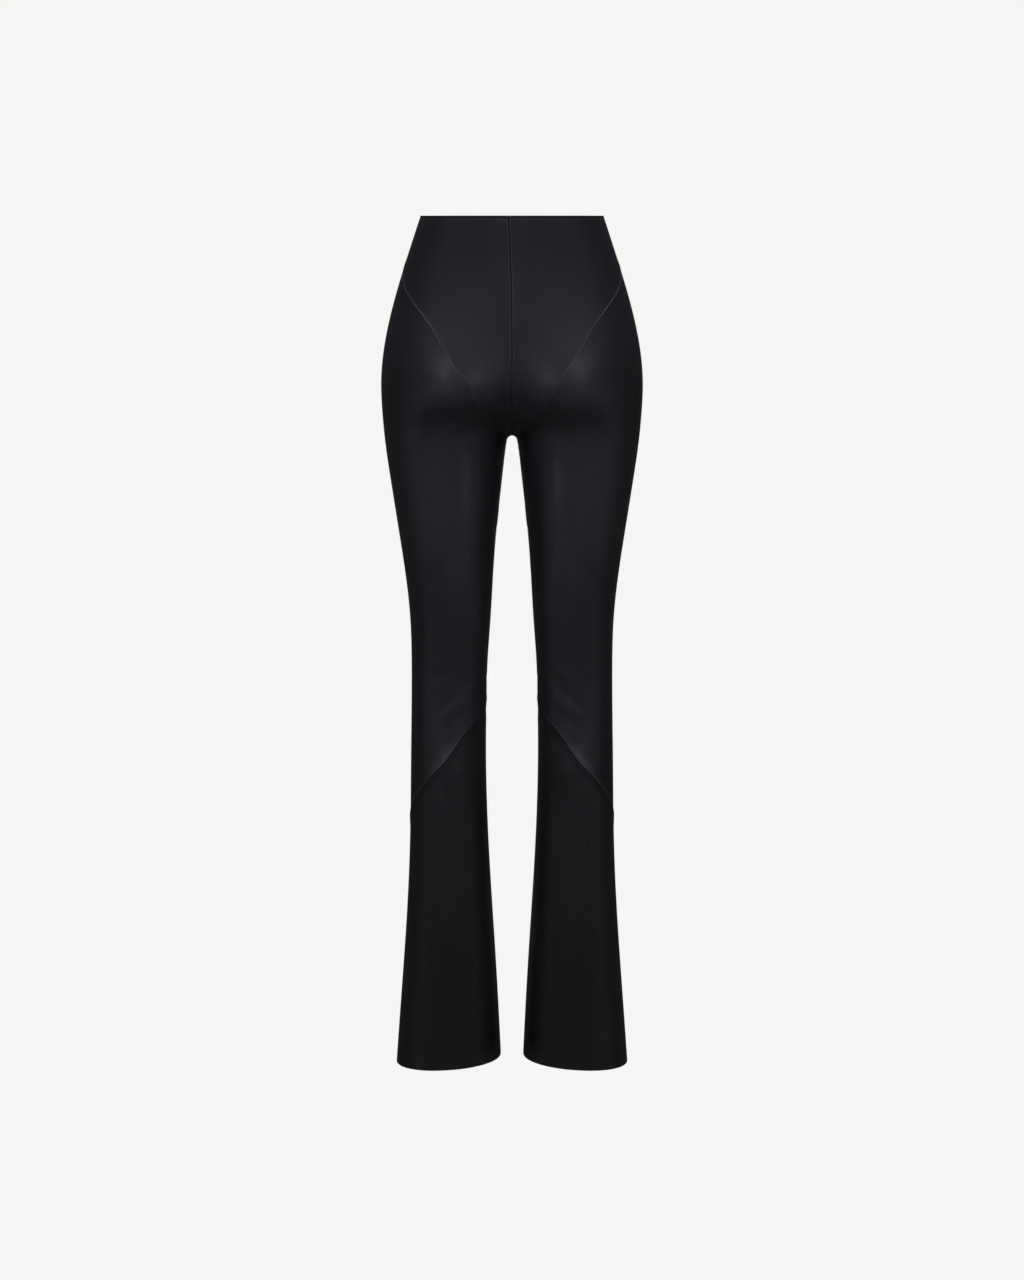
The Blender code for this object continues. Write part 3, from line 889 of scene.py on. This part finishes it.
def sewn(panel, leg):
    """A panel's finished points, and which of its points have folded-over leather inside."""
    count = len(panel.points)
    low, high, free_roll, depth = np.zeros((4, count))
    folded = np.zeros(count, bool)
    for kind, across in panel.across.items():
        knots, lifts, _ = np.array(PROFILES[kind]).T
        turned_in = TURNED_IN.get(kind, ALLOWANCE)
        depths = np.where(knots < turned_in, FOLDED_CLOTH, CLOTH)
        lift = np.interp(across, knots, lifts)
        if kind in CROSSING:
            lift *= np.clip(panel.across["plain"] / LIP_FADE, LIP_LEAST, 1)
        low = np.minimum(low, lift)
        high = np.maximum(high, lift)
        depth = np.maximum(depth, np.interp(across, knots, depths))
        folded |= across < turned_in
        if kind in TURNED_IN:
            free_roll = np.minimum(free_roll, lift)
    lift = low + high
    lift[: panel.count] = -EDGE_ROLL
    crease = creased(panel.points, leg)
    outwards = normals(panel.points)
    outer = panel.points + outwards * (lift + crease)[:, None]
    inner = panel.points - outwards * (depth + ROLLED_IN * free_roll - crease)[:, None]
    return np.concatenate([outer, inner]), folded


def wear(panel):
    """How rubbed the coating is beside a panel's edges, with a painted glint, or below 0 how much painted
    shade darkens and dulls the sunken grooves, from -1 to 1.
    """
    drop = drop_of(panel.points)
    low, high = np.zeros((2, len(drop)))
    for kind, across in panel.across.items():
        knots, _, wear_glint_shade = np.array(PROFILES[kind]).T
        value = np.interp(across, knots, wear_glint_shade)
        share = np.interp(drop, *zip(*(SLIT_GLINT_AND_SHADE if kind == "slit" else LIP_RUB_AND_GLINT)))
        low = np.minimum(low, value * (np.maximum(share, SLIT_SHADE_LEAST) if kind == "slit" else 1))
        high = np.maximum(high, value * share)
    return low + high


# ---- stitches and the zip


def stitches(path, lift):
    """Short sewn stitches along a line on the cloth's face: points and faces."""
    path = spaced(path, STITCH_SAMPLE)
    lengths = lengths_of(path)
    count = int(lengths[-1] // STITCH_PITCH)
    shares = np.linspace(0, 1, STITCH_RINGS)
    bow = np.sin(np.pi * shares)
    starts = (np.arange(count) + STITCH_START) * lengths[-1] / count
    spots = (starts[:, None] + shares * STITCH_LENGTH).ravel()
    middles = along_line(spots, lengths, path)
    up = normals(middles)
    ahead = along_line(spots, lengths, unit(np.gradient(path, axis=0)))
    aside = unit(np.cross(ahead, up))
    middles = middles + up * (lift + STITCH_RISE * np.tile(bow, count))[:, None]
    radius = THREAD * np.tile(THREAD_TIP + (1 - THREAD_TIP) * np.sqrt(np.maximum(bow, 0)), count)
    return tube(middles, aside, up, radius, STITCH_RINGS)


def lofted(rings, each):
    """Closed bodies through rings of points, a new one after each so many rings: points and faces."""
    count, corners = rings.shape[:2]
    faces = []
    for start in range(0, count * corners, each * corners):
        last = start + (each - 1) * corners
        faces += [list(range(start, start + corners)), list(range(last, last + corners))[::-1]]
        for ring in range(start, last, corners):
            beyond = ring + corners
            for corner in range(corners):
                beside = (corner + 1) % corners
                faces.append([ring + corner, beyond + corner, beyond + beside, ring + beside])
    return rings.reshape(-1, 3), faces


def tube(middles, aside, up, radius, rings):
    """Round tubes through rows of rings, a new tube after each so many rings, closed at both ends."""
    angles = np.arange(TUBE_SIDES) * 2 * np.pi / TUBE_SIDES
    spokes = aside[:, None] * np.cos(angles)[None, :, None] + up[:, None] * np.sin(angles)[None, :, None]
    return lofted(middles[:, None] + spokes * radius[:, None, None], rings)


class ZipPlace:
    """Places behind the centre-back seam, by drop, reach to the side and depth inside the cloth's face."""

    def __init__(self, seam):
        self.seam = spaced(seam, ZIP_SAMPLE)
        starts = self.seam * [1, 0, 1] + [ZIP_BESIDE, 0, 0]
        starts[:, 1] = centre_at(drop_of(self.seam))
        self.beside = cast(starts, [0, -1, 0])

    def __call__(self, drop, reach, depth):
        on_seam = np.interp(drop, drop_of(self.seam), self.seam[:, 1])
        off_seam = np.interp(drop, drop_of(self.seam), self.beside[:, 1])
        inwards = -normals(columns(0, on_seam, -drop))
        back = on_seam + (off_seam - on_seam) * np.abs(reach) / ZIP_BESIDE
        return columns(reach, back, -drop) + inwards * depth[:, None]


def zip_tape(place, side):
    """A woven tape with a corded edge beside the coil."""
    reach, depth = np.array(TAPE_SECTION).T
    drops = np.linspace(*TAPE_DROPS, TAPE_ROWS)
    rings = [place(np.full(len(reach), drop), side * reach, depth) for drop in drops]
    return lofted(np.array(rings)[:, ::side], len(rings))


def zip_coil(place, side):
    """One half of the closed coil: a round wire wound down the seam, which meets the other half."""
    turns = (COIL_DROPS[1] - COIL_DROPS[0]) / COIL_PITCH
    steps = int(turns * COIL_STEPS)
    angle = np.linspace(0, turns * 2 * np.pi, steps) + (np.pi if side > 0 else 0)
    drop = np.linspace(*COIL_DROPS, steps)
    reach = side * (COIL_MIDDLE + COIL_RADIUS * np.cos(angle))
    middles = place(drop, reach, COIL_DEPTH + COIL_RADIUS * np.sin(angle))
    ahead = unit(np.gradient(middles, axis=0))
    aside = unit(np.cross(ahead, [0, 0, 1]))
    return tube(middles, aside, np.cross(aside, ahead), np.full(steps, COIL_WIRE), steps)


def zip_slider(place):
    """The slider's rounded body over the coil's top."""
    angles = np.arange(SLIDER_CORNERS) * 2 * np.pi / SLIDER_CORNERS
    waves = np.cos(angles), np.sin(angles)
    across, through = [np.sign(wave) * np.abs(wave) ** SLIDER_POWER for wave in waves]
    rings = []
    for row in SLIDER:
        drops = np.full(SLIDER_CORNERS, row.drop)
        rings.append(place(drops, row.reach * across, SLIDER_DEPTH - row.half * through))
    return lofted(np.array(rings), len(rings))


# ---- materials


class Nodes:
    """A material's nodes, made and linked by name."""

    def __init__(self, name):
        self.material = bpy.data.materials.new(name)
        self.material.use_nodes = True
        self.tree = self.material.node_tree
        self.shader = self.tree.nodes["Principled BSDF"]
        self.where = self.add("TexCoord").outputs["Object"]

    def add(self, kind, settings=(), *values, **inputs):
        node = self.tree.nodes.new(f"ShaderNode{kind}")
        for name, value in dict(settings).items():
            setattr(node, name, value)
        for socket, value in zip(node.inputs, values):
            self.join(socket, value)
        for name, value in inputs.items():
            self.join(node.inputs[name], value)
        return node

    def join(self, socket, value):
        if isinstance(value, bpy.types.NodeSocket):
            self.tree.links.new(value, socket)
        else:
            socket.default_value = value

    def math(self, operation, *values):
        return self.add("Math", {"operation": operation}, *values).outputs[0]

    def times(self, first, second):
        return self.math("MULTIPLY", first, second)

    def ranged(self, value, old, new):
        """A value moved from one range to another, and kept within it."""
        return self.add("MapRange", (), value, *old, *new).outputs[0]

    def attribute(self, name):
        return self.add("Attribute", {"attribute_name": name}).outputs["Fac"]

    def noise(self, scale, detail=2, **inputs):
        return self.add("TexNoise", Vector=self.where, Scale=scale, Detail=detail, **inputs).outputs["Fac"]

    def bands(self, direction, scale, distortion=0):
        inputs = {"Vector": self.where, "Scale": scale, "Distortion": distortion}
        return self.add("TexWave", {"bands_direction": direction}, **inputs).outputs["Fac"]

    def bump(self, height, strength, distance, **inputs):
        return self.add("Bump", Strength=strength, Distance=distance, Height=height, **inputs).outputs[0]

    def blended(self, share, first, second):
        mix = self.add("Mix", {"data_type": "RGBA"})
        self.join(mix.inputs[0], share)
        for place, colour in ((6, first), (7, second)):
            given = isinstance(colour, bpy.types.NodeSocket)
            self.join(mix.inputs[place], colour if given else (*colour, 1))
        return mix.outputs[2]

    def finish(self, colour, roughness, normal):
        """The material, with its shader's main inputs joined."""
        for name, value in (("Base Color", colour), ("Roughness", roughness), ("Normal", normal)):
            self.join(self.shader.inputs[name], value)
        return self.material


def faux_leather():
    """Black coating with fine grain, cloudy gloss, puckered seams, crinkles, rubbed lips with a painted glint
    and grooves darkened by painted shade.
    """
    nodes = Nodes("faux_leather")
    inputs = {"Vector": nodes.where, "Scale": 1150, "Smoothness": 0.4}
    cells = nodes.add("TexVoronoi", {"feature": "SMOOTH_F1"}, **inputs).outputs["Distance"]
    pores = nodes.noise(2600)
    cloudy = nodes.noise(34, 3, Roughness=0.55)
    near = nodes.ranged(nodes.attribute("seam_across"), (0, PUCKER_REACH), (1, 0))
    along = nodes.times(nodes.attribute("seam_along"), PUCKER_RATE)
    wave = nodes.math("SINE", nodes.math("ADD", along, nodes.times(nodes.noise(130), PUCKER_WANDER)))
    pucker = nodes.times(wave, nodes.times(near, near))
    slanted = nodes.add("Mapping", Vector=nodes.where, Rotation=CRINKLE_TURN, Scale=CRINKLE_SCALE).outputs[0]
    crinkles = nodes.add("TexNoise", Vector=slanted, Scale=1, Detail=1.5, Roughness=0.4).outputs["Fac"]
    crinkle = nodes.times(crinkles, nodes.attribute("crinkle"))
    grain = nodes.math("ADD", cells, nodes.times(pores, PORE_SHARE))
    fine = nodes.bump(grain, 0.16, 0.0002)
    rippled = nodes.bump(pucker, 0.6, 0.0002, Normal=fine)
    creased_skin = nodes.bump(crinkle, 0.7, 0.003, Normal=rippled)
    # The rubbed lips are smoother and also painted lighter: a painted glint.
    wear_glint_shade = nodes.math("MAXIMUM", nodes.attribute("wear"), 0)
    groove_shade = nodes.math("MAXIMUM", nodes.times(nodes.attribute("wear"), -1), 0)
    glint_share = nodes.times(wear_glint_shade, nodes.ranged(pores, NOISE_RANGE, GLINT_RANGE))
    rough = nodes.ranged(cloudy, NOISE_RANGE, ROUGH_RANGE)
    rougher = nodes.math("ADD", rough, nodes.times(groove_shade, SUNKEN_ROUGHER))
    shinier = nodes.times(nodes.attribute("shine"), SHINE_SMOOTHER)
    smoother = nodes.math("ADD", nodes.times(wear_glint_shade, WORN_SMOOTHER), shinier)
    clouded = nodes.blended(cloudy, BLACK, BLUE_BLACK)
    # The grooves are painted near-black: a painted shade, darker and duller than the cloth.
    colour = nodes.blended(groove_shade, nodes.blended(glint_share, clouded, PAINTED_GLINT_GREY), PAINTED_SEAM_SHADE)
    shining = nodes.ranged(nodes.attribute("shine"), SHINE_RANGE, LEVEL_RANGE)
    kept = nodes.math("SUBTRACT", 1, nodes.times(groove_shade, SUNKEN_DULLER))
    nodes.join(nodes.shader.inputs["Specular IOR Level"], nodes.times(shining, kept))
    nodes.shader.inputs["Specular Tint"].default_value = (*GLOSS_TINT, 1)
    return nodes.finish(colour, nodes.math("SUBTRACT", rougher, smoother), creased_skin)


def knit_backing():
    nodes = Nodes("knit_backing")
    loops = nodes.times(nodes.bands("Z", 300, 1.5), nodes.bands("X", 380, 1.5))
    fuzz = nodes.noise(900, 3)
    bump = nodes.bump(nodes.math("ADD", loops, fuzz), 0.6, 0.0003)
    nodes.shader.inputs["Sheen Weight"].default_value = KNIT_SHEEN
    return nodes.finish(nodes.blended(loops, *KNIT), nodes.ranged(fuzz, NOISE_RANGE, (0.85, 0.95)), bump)


def patterned(nodes, pattern, colours, roughness, strength, distance):
    """A material whose colour, roughness and bump all follow one pattern."""
    rough = nodes.ranged(pattern, (0, 1), roughness)
    return nodes.finish(nodes.blended(pattern, *colours), rough, nodes.bump(pattern, strength, distance))


def thread():
    nodes = Nodes("thread")
    return patterned(nodes, nodes.bands("DIAGONAL", 900, 1), THREAD_BLACK, (0.45, 0.6), 0.5, 0.0001)


def woven_tape():
    nodes = Nodes("woven_tape")
    weave = nodes.times(nodes.bands("X", 420), nodes.bands("Z", 520, 0.6))
    return patterned(nodes, weave, TAPE_BLACK, (0.95, 0.8), 0.6, 0.0002)


def hard_black(name, metallic, roughness):
    """Black nylon or lacquered metal, with faint wear in its gloss."""
    nodes = Nodes(name)
    scuffs = nodes.noise(700, 4)
    share = nodes.ranged(scuffs, (0.35, 0.65), (0, 1))
    bump = nodes.bump(scuffs, 0.2, 0.00005)
    nodes.shader.inputs["Metallic"].default_value = metallic
    return nodes.finish(nodes.blended(share, *HARD_BLACK), nodes.ranged(share, (0, 1), roughness), bump)


# ---- the scene


def placed(name, data):
    """A new object in the scene."""
    thing = bpy.data.objects.new(name, data)
    bpy.context.scene.collection.objects.link(thing)
    return thing


def made(name, points, faces, materials, slot, node=None, indices=None, values=()):
    """A smooth piece from points in millimetres that rides with the frame, and may replace a node."""
    mesh = bpy.data.meshes.new(name)
    mesh.from_pydata((leaned(points) * MM).tolist(), [], faces)
    for material in materials:
        mesh.materials.append(material)
    if indices is not None:
        mesh.polygons.foreach_set("material_index", indices)
    for label, numbers in dict(values).items():
        mesh.attributes.new(label, "FLOAT", "POINT").data.foreach_set("value", numbers)
    mesh.shade_smooth()
    piece = placed(name, mesh)
    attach(piece, "root")
    if node:
        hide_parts(node)
    return piece


def cloth(row, panel, leg, materials):
    """A panel's cloth on one leg, with leather outside and folded over, and knit inside."""
    points, folded = sewn(panel, leg)
    below = len(panel.points)
    start = np.arange(panel.count)
    end = np.roll(start, -1)
    upper = np.stack([end, start, start + below], axis=1)
    lower = np.stack([end, start + below, end + below], axis=1)
    inner = panel.triangles[:, ::-1] + below
    faces = np.concatenate([panel.triangles, inner, upper, lower])
    knitted = ~folded[panel.triangles].all(axis=1)
    indices = np.concatenate([np.zeros(len(inner)), knitted, np.zeros(2 * panel.count)]).astype(int)
    if leg < 0:
        points = points * [-1, 1, 1]
        faces = faces[:, ::-1]
    kinds = [kind for kind in PROFILES if kind in panel.across and kind not in TURNED_IN]
    distances = np.array([panel.across[kind] for kind in kinds])
    nearest = distances.argmin(axis=0)
    values = {
        "seam_across": distances.min(axis=0),
        "seam_along": np.array([panel.along[kind] for kind in kinds])[nearest, np.arange(below)],
        "crinkle": crinkled(panel.points),
        "shine": shine(row.name, panel),
        # Painted glint on the seam lips and painted shade in their grooves.
        "wear": wear(panel),
    }
    values = {label: np.tile(numbers, 2) for label, numbers in values.items()}
    node = f"{row.name}_{'right' if leg > 0 else 'left'}"
    piece = made(f"cloth_{node}", points, faces.tolist(), materials, "faux_leather", node, indices, values)


def mirrored(points, faces):
    return points * [-1, 1, 1], [face[::-1] for face in faces]


def sewing(lines):
    """Sewn stitches round the waist, across the zip's end and along the welts of the knee seams."""
    material = thread()

    def sew(name, points, faces):
        made(f"stitches_{name}", points, faces, [material], "faux_leather")

    ends = turn_of(np.array([lines["waist_back"][0], lines["waist_front"][0]]), 90)
    points, faces = stitches(at_turn(np.full(FINE, WAIST_STITCH), evenly(*ends)), STITCH_LIFT)
    other, other_faces = mirrored(points, faces)
    faces += [[corner + len(points) for corner in face] for face in other_faces]
    sew("waist", np.concatenate([points, other]), faces)
    starts = columns(np.linspace(-BAR_REACH, BAR_REACH, BAR_POINTS), centre_at(ZIP_END), -ZIP_END)
    sew("zip_end", *stitches(cast(starts, [0, -1, 0]), BAR_LIFT))
    knee = lines["knee_seam"]
    pull = unit(np.cross(normals(knee), np.gradient(knee, axis=0)))
    pull *= -np.sign(pull[:, 2:])
    points, faces = stitches(settled(knee + pull * KNEE_STITCH)[1:-1], STITCH_LIFT)
    sew("knee_right", points, faces)
    sew("knee_left", *mirrored(points, faces))


def zip_parts(seam):
    """The tapes, the two halves of the coil and the slider."""
    place = ZipPlace(seam)
    weave = woven_tape()
    nylon = hard_black("nylon_coil", 0, (0.35, 0.5))
    metal = hard_black("lacquered_metal", 1, (0.25, 0.42))
    for side, word in ((1, "right"), (-1, "left")):
        points, faces = zip_tape(place, side)
        woven = made(f"zip_tape_woven_{word}", points, faces, [weave], "zip_tape", f"zip_tape_{word}")
        made(f"zip_coil_{word}", *zip_coil(place, side), [nylon], "zip_coil", "zip_coil")
    made("zip_slider_body", *zip_slider(place), [metal], "zip_slider", "zip_slider")


def coloured(tree, kind, colour):
    node = tree.nodes.new(f"ShaderNode{kind}")
    node.inputs["Color"].default_value = (*colour, 1)
    return node.outputs[0]


def light(name, azimuth, row):
    """A soft light that faces the garment's middle from degrees round it."""
    lamp = bpy.data.lights.new(name, "AREA")
    lamp.shape = "RECTANGLE"
    lamp.size, lamp.size_y = row.size
    lamp.energy = row.power
    lamp.color = LIGHT_TINT
    lamp.spread = math.radians(row.spread)
    holder = placed(name, lamp)
    turn, rise = math.radians(azimuth), math.radians(row.elevation)
    away = Vector((math.sin(turn) * math.cos(rise), -math.cos(turn) * math.cos(rise), math.sin(rise)))
    holder.location = Vector((0, 0, row.aim)) + away * row.distance
    holder.rotation_euler = (-away).to_track_quat("-Z", "Y").to_euler()
    holder.visible_camera = False


def studio():
    """Soft lights, a faint light all round and a pale ground that only the camera sees."""
    world = bpy.data.worlds.new("studio")
    world.use_nodes = True
    tree = world.node_tree
    shade = tree.nodes["Background"]
    shade.inputs["Strength"].default_value = AMBIENT
    shade.inputs["Color"].default_value = (*LIGHT_TINT, 1)
    backdrop = coloured(tree, "Background", BACKDROP)
    rays = tree.nodes.new("ShaderNodeLightPath")
    mix = tree.nodes.new("ShaderNodeMixShader")
    tree.links.new(rays.outputs["Is Camera Ray"], mix.inputs[0])
    tree.links.new(shade.outputs[0], mix.inputs[1])
    tree.links.new(backdrop, mix.inputs[2])
    tree.links.new(mix.outputs[0], tree.nodes["World Output"].inputs[0])
    bpy.context.scene.world = world
    bpy.context.scene.view_settings.view_transform = "Standard"
    for row in LIGHTS:
        light(f"{row.name}_right", row.azimuth, row)
        light(f"{row.name}_left", -row.azimuth, row)


def camera():
    lens = bpy.data.cameras.new("camera")
    lens.lens = CAMERA_LENS
    lens.sensor_width = CAMERA_SENSOR
    lens.clip_end = CAMERA_SIGHT
    holder = placed("camera", lens)
    holder.location = (0, -CAMERA_DISTANCE, 0)
    holder.rotation_euler = (math.radians(90 - CAMERA_PITCH), 0, 0)
    bpy.context.scene.camera = holder


def floor():
    """A pale floor well below the hems, which neither lights nor shades the garment."""
    half = FLOOR_SIZE / 2
    mesh = bpy.data.meshes.new("floor")
    corners = [(-half, -half), (half, -half), (half, half), (-half, half)]
    mesh.from_pydata([(x, y, -FLOOR_DROP) for x, y in corners], [], [(0, 1, 2, 3)])
    pale = bpy.data.materials.new("pale_floor")
    pale.use_nodes = True
    tree = pale.node_tree
    tree.nodes.remove(tree.nodes["Principled BSDF"])
    glow = coloured(tree, "Emission", BACKDROP)
    tree.links.new(glow, tree.nodes["Material Output"].inputs[0])
    mesh.materials.append(pale)
    ground = placed("floor", mesh)
    for ray in ("diffuse", "glossy", "shadow", "transmission"):
        setattr(ground, f"visible_{ray}", False)


def main():
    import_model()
    camera()
    studio()
    floor()
    lines = seam_lines()
    materials = [faux_leather(), knit_backing()]
    for row in PANELS:
        panel = Panel(lines, row.middle, row.outline.split())
        for leg in (1, -1):
            cloth(row, panel, leg, materials)
    sewing(lines)
    zip_parts(lines["centre_back"])


main()
